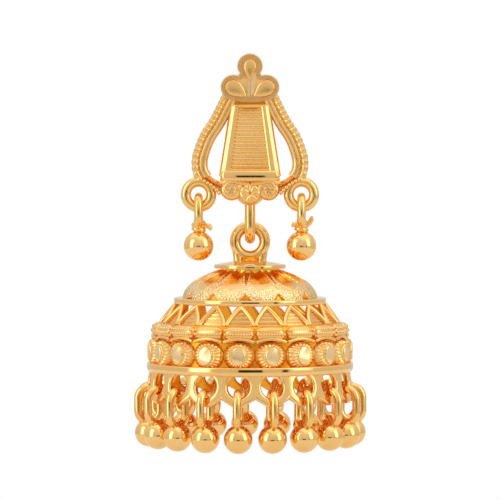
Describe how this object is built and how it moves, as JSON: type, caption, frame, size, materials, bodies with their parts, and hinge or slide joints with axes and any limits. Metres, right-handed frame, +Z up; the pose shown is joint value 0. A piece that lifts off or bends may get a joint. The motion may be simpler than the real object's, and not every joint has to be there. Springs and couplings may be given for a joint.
{
  "type": "jhumka earring",
  "caption": "Gold jhumka drop earring: lyre-shaped stud with post and side drops, a link, and a pierced hollow bell fringed with ball drops.",
  "frame": {"origin": "root of the ear post on the stud's flat back", "axes": "+Z up as worn, -Y out of the stud's front, +X to the viewer's right"},
  "size_m": [0.0229, 0.023, 0.0389],
  "materials": {
    "stud": "polished and fine-textured cast gold",
    "link": "polished gold wire",
    "bell": "polished, stippled and engraved gold",
    "drop": "polished gold balls and wire"
  },
  "bodies": {
    "stud": {"stud": "stud", "side_drop_left": "drop", "side_drop_right": "drop"},
    "link": {"hanging_link": "link"},
    "bell": {"bell": "bell", "rim_drop_01": "drop", "rim_drop_02": "drop", "rim_drop_03": "drop", "rim_drop_04": "drop", "rim_drop_05": "drop", "rim_drop_06": "drop", "rim_drop_07": "drop", "rim_drop_08": "drop", "rim_drop_09": "drop", "rim_drop_10": "drop", "rim_drop_11": "drop", "rim_drop_12": "drop", "rim_drop_13": "drop", "rim_drop_14": "drop", "rim_drop_15": "drop", "rim_drop_16": "drop", "rim_drop_17": "drop", "rim_drop_18": "drop", "rim_drop_19": "drop"}
  },
  "joints": [
    {"name": "link_swing", "type": "hinge", "parent": "stud", "child": "link", "pos_m": [0, 0.0016, -0.00755], "axis": [1, 0, 0], "range_deg": [-25, 25]},
    {"name": "bell_swing", "type": "hinge", "parent": "link", "child": "bell", "pos_m": [0, 0.0016, -0.01119], "axis": [0, 1, 0], "range_deg": [-10, 10]}
  ]
}
